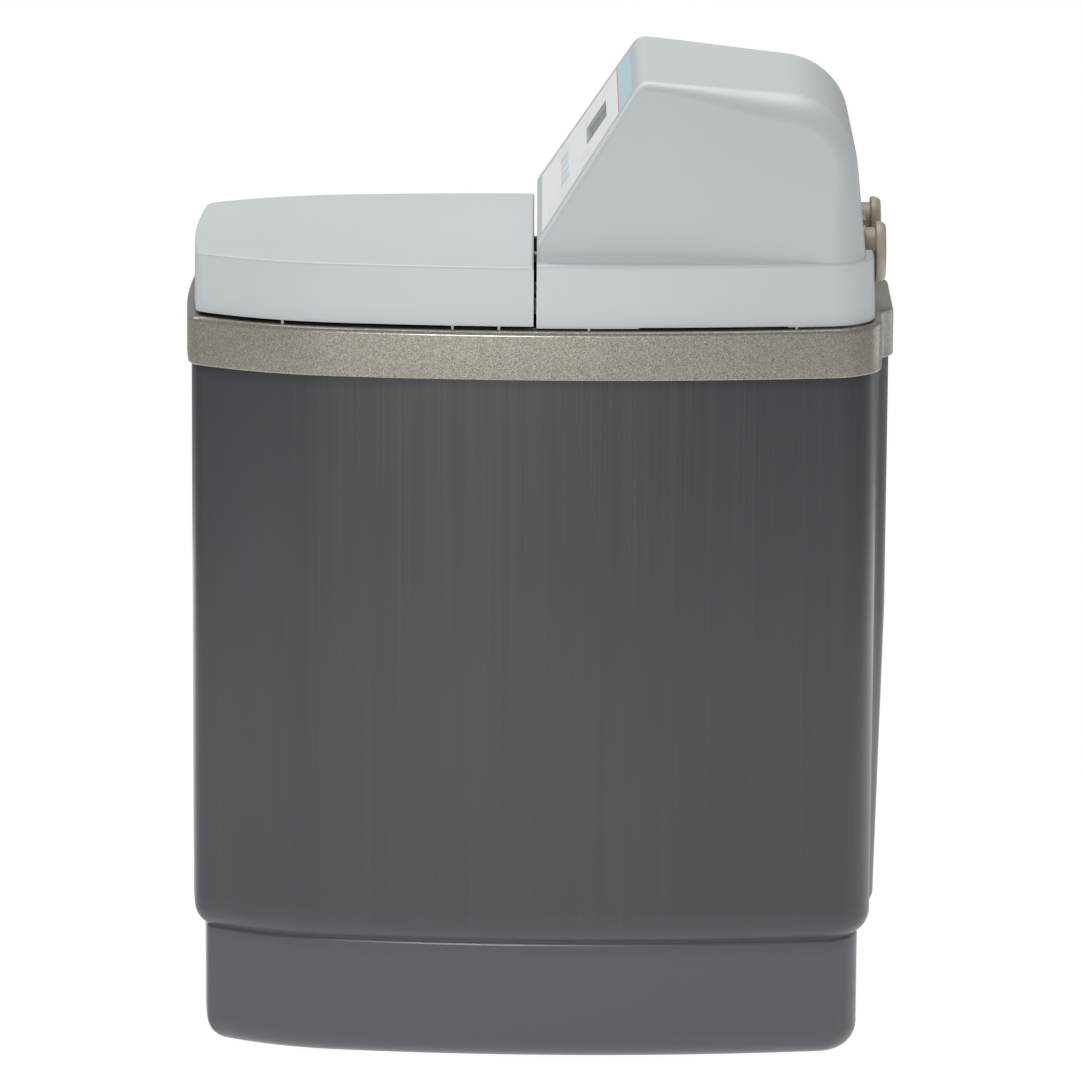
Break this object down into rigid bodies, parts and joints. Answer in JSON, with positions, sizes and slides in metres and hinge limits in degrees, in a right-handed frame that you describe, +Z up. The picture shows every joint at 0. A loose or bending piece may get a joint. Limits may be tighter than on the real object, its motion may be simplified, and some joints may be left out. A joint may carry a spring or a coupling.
{
  "type": "cabinet water softener",
  "caption": "Compact cabinet water softener: salt tank with trim band, hinged salt lid and sloped valve cover over a resin vessel, rotary control valve and brine well.",
  "frame": {"origin": "middle of the cabinet's box, on the floor", "axes": "+Z up, the front faces -Y, the pipe ports leave towards +Y, +X is to the right when looking along +Y"},
  "size_m": [0.28, 0.48, 0.6717],
  "materials": {
    "tank_plastic": "satin dark grey moulding with faint upright streaks",
    "band_paint": "metallic flake in a silver champagne tone",
    "cover_plastic": "satin pale blue-grey moulding",
    "panel_film": "smooth printed film with a pale blue head",
    "window": "clear tinted window",
    "lcd": "grey-green display",
    "button_plastic": "satin",
    "board": "solder mask",
    "vessel_shell": "wound fibre shell",
    "black_plastic": "fine moulded texture",
    "resin": "packed amber beads",
    "white_plastic": "natural white moulding",
    "seal_rubber": "soft black",
    "valve_plastic": "beige glass-filled moulding",
    "steel": "plain",
    "motor_case": "zinc plated can",
    "float_plastic": "foamed plastic"
  },
  "bodies": {
    "cabinet": {"salt_tank": "tank_plastic", "trim_band": "band_paint", "hinge_pins": "steel", "valve_cover": "cover_plastic", "control_panel": "panel_film", "display_window": "window", "display_module": "lcd", "control_board": "board", "board_screws": "steel", "resin_vessel": "vessel_shell", "vessel_boot": "black_plastic", "resin_bed": "resin", "riser_tube": "white_plastic", "bottom_strainer": "white_plastic", "top_strainer": "white_plastic", "neck_seal": "seal_rubber", "clamp_left": "valve_plastic", "clamp_right": "valve_plastic", "clamp_screws": "steel", "valve_body": "valve_plastic", "rotor_seal": "seal_rubber", "valve_head": "valve_plastic", "head_screws": "steel", "wave_washer": "steel", "motor_plate": "black_plastic", "drive_motor": "motor_case", "motor_screws": "steel", "position_switch": "black_plastic", "turbine_supports": "white_plastic", "inlet_adaptor": "valve_plastic", "outlet_adaptor": "valve_plastic", "adaptor_seals": "seal_rubber", "port_clips": "valve_plastic", "drain_stub": "valve_plastic", "injector_nozzle": "white_plastic", "injector_cap": "valve_plastic", "brine_hose": "white_plastic", "brine_well": "black_plastic", "well_cap": "black_plastic", "float_rod": "white_plastic", "foot_valve": "white_plastic", "overflow_grommet": "seal_rubber"},
    "lid": {"salt_lid": "cover_plastic"},
    "rotor": {"rotor_disc": "white_plastic", "cam_gear": "white_plastic"},
    "pinion": {"motor_pinion": "white_plastic"},
    "turbine": {"turbine": "white_plastic"},
    "float": {"brine_float": "float_plastic"},
    "menu_key": {"button_menu": "button_plastic"},
    "down_key": {"button_down": "button_plastic"},
    "up_key": {"button_up": "button_plastic"},
    "recharge_key": {"button_recharge": "button_plastic"}
  },
  "joints": [
    {"name": "lid_hinge", "type": "hinge", "parent": "cabinet", "child": "lid", "pos_m": [0, -0.014, 0.546], "axis": [-1, 0, 0], "range_deg": [0, 98]},
    {"name": "rotor_turn", "type": "hinge", "parent": "cabinet", "child": "rotor", "pos_m": [0, 0.107, 0.56], "axis": [0, 0, 1], "continuous": true},
    {"name": "pinion_turn", "type": "hinge", "parent": "cabinet", "child": "pinion", "pos_m": [0.045, 0.107, 0.59], "axis": [0, 0, 1], "continuous": true},
    {"name": "turbine_spin", "type": "hinge", "parent": "cabinet", "child": "turbine", "pos_m": [0.045, 0.165, 0.548], "axis": [0, 1, 0], "continuous": true},
    {"name": "float_rise", "type": "slide", "parent": "cabinet", "child": "float", "axis": [0, 0, 1], "range_m": [0, 0.11]},
    {"name": "menu_press", "type": "slide", "parent": "cabinet", "child": "menu_key", "axis": [0, 0.8387, -0.5446], "range_m": [0, 0.0008], "stiffness_N_per_m": 800},
    {"name": "down_press", "type": "slide", "parent": "cabinet", "child": "down_key", "axis": [0, 0.8387, -0.5446], "range_m": [0, 0.0008], "stiffness_N_per_m": 800},
    {"name": "up_press", "type": "slide", "parent": "cabinet", "child": "up_key", "axis": [0, 0.8387, -0.5446], "range_m": [0, 0.0008], "stiffness_N_per_m": 800},
    {"name": "recharge_press", "type": "slide", "parent": "cabinet", "child": "recharge_key", "axis": [0, 0.8387, -0.5446], "range_m": [0, 0.0008], "stiffness_N_per_m": 800}
  ],
  "couplings": [
    {"joint": "pinion_turn", "follows": "rotor_turn", "ratio": -4}
  ]
}
